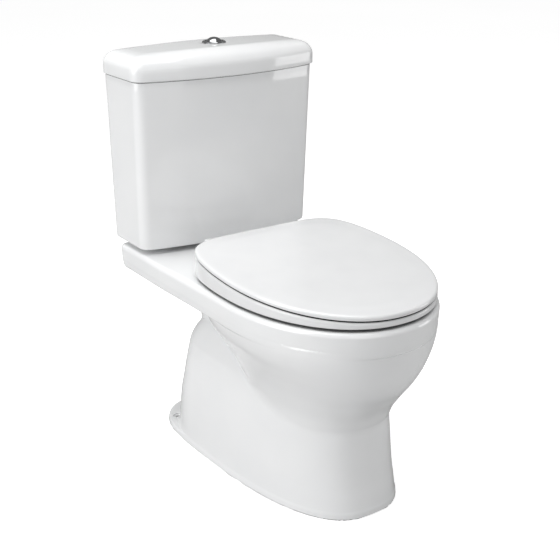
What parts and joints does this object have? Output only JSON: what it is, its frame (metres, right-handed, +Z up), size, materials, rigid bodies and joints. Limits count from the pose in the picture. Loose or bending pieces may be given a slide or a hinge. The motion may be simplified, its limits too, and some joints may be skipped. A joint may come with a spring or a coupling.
{
  "type": "close coupled toilet",
  "caption": "Floor-standing toilet with a pan, a cistern bolted to its rear shelf, a dual flush button, and a soft-close seat and lid on hinges.",
  "frame": {"origin": "on the floor, under the middle of the whole object's box", "axes": "+Z up, -Y towards the front of the bowl, +Y towards the wall, +X to the right seen from the front"},
  "size_m": [0.404, 0.676, 0.7882],
  "materials": {
    "vitreous_china": "gloss",
    "seat_plastic": "gloss",
    "chrome": "polished",
    "valve_plastic": "satin",
    "blue_plastic": "satin",
    "black_rubber": "matte",
    "buffer_rubber": "matte",
    "steel": "satin"
  },
  "bodies": {
    "fixed": {"pan_rim": "vitreous_china", "pan_bowl": "vitreous_china", "pan_pedestal": "vitreous_china", "cistern": "vitreous_china", "coupling_gasket": "black_rubber", "tie_bolt_left": "steel", "tie_bolt_right": "steel", "tie_bolt_seal_left": "black_rubber", "tie_bolt_seal_right": "black_rubber", "tie_washer_left": "black_rubber", "tie_washer_right": "black_rubber", "wing_nut_left": "steel", "wing_nut_right": "steel", "hinge_post_left": "chrome", "hinge_post_right": "chrome", "hinge_damper_left": "valve_plastic", "hinge_damper_right": "valve_plastic", "hinge_stud_left": "steel", "hinge_stud_right": "steel", "hinge_sleeve_left": "black_rubber", "hinge_sleeve_right": "black_rubber", "flush_valve_body": "valve_plastic", "flush_valve_head": "blue_plastic", "flush_lock_nut": "valve_plastic", "fill_valve_body": "valve_plastic", "fill_valve_cap": "blue_plastic", "refill_tube": "black_rubber", "inlet_washer": "black_rubber", "inlet_nut": "valve_plastic", "blanking_plug": "valve_plastic", "blanking_nut": "valve_plastic"},
    "ring": {"seat_ring": "seat_plastic", "ring_buffer_front_left": "buffer_rubber", "ring_buffer_front_right": "buffer_rubber", "ring_buffer_rear_left": "buffer_rubber", "ring_buffer_rear_right": "buffer_rubber"},
    "lid": {"seat_lid": "seat_plastic", "lid_buffer_left": "buffer_rubber", "lid_buffer_right": "buffer_rubber"},
    "cover": {"cistern_lid": "vitreous_china", "button_bezel": "chrome", "button_lock_nut": "valve_plastic"},
    "full_button": {"button_full": "chrome", "push_rod_full": "valve_plastic"},
    "half_button": {"button_half": "chrome", "push_rod_half": "valve_plastic"},
    "flush_valve": {"overflow_tube": "valve_plastic", "flush_seal": "black_rubber"},
    "float": {"float_cup": "valve_plastic", "float_rod": "valve_plastic"},
    "lever": {"fill_valve_lever": "valve_plastic"}
  },
  "joints": [
    {"name": "seat_ring_hinge", "type": "hinge", "parent": "fixed", "child": "ring", "pos_m": [0, 0.119, 0.418], "axis": [-1, 0, 0], "range_deg": [0, 95]},
    {"name": "seat_lid_hinge", "type": "hinge", "parent": "ring", "child": "lid", "pos_m": [0, 0.119, 0.418], "axis": [1, 0, 0], "range_deg": [-95, 0]},
    {"name": "cistern_lid_lift", "type": "slide", "parent": "fixed", "child": "cover", "axis": [0, 0, 1], "range_m": [0, 0.15]},
    {"name": "full_flush_press", "type": "slide", "parent": "cover", "child": "full_button", "axis": [0, 0, -1], "range_m": [0, 0.008], "stiffness_N_per_m": 300, "springref_m": -0.012},
    {"name": "half_flush_press", "type": "slide", "parent": "cover", "child": "half_button", "axis": [0, 0, -1], "range_m": [0, 0.008], "stiffness_N_per_m": 300, "springref_m": -0.012},
    {"name": "flush_valve_lift", "type": "slide", "parent": "fixed", "child": "flush_valve", "axis": [0, 0, 1], "range_m": [0, 0.02]},
    {"name": "float_rise", "type": "slide", "parent": "fixed", "child": "float", "axis": [0, 0, 1], "range_m": [0, 0.01]},
    {"name": "fill_lever_pivot", "type": "hinge", "parent": "fixed", "child": "lever", "pos_m": [0.131, 0.266, 0.652], "axis": [0, 1, 0], "range_deg": [0, 17]}
  ],
  "couplings": [
    {"joint": "flush_valve_lift", "follows": "full_flush_press", "ratio": 2.5},
    {"joint": "fill_lever_pivot", "follows": "float_rise", "rad_per_m": 29.4}
  ]
}
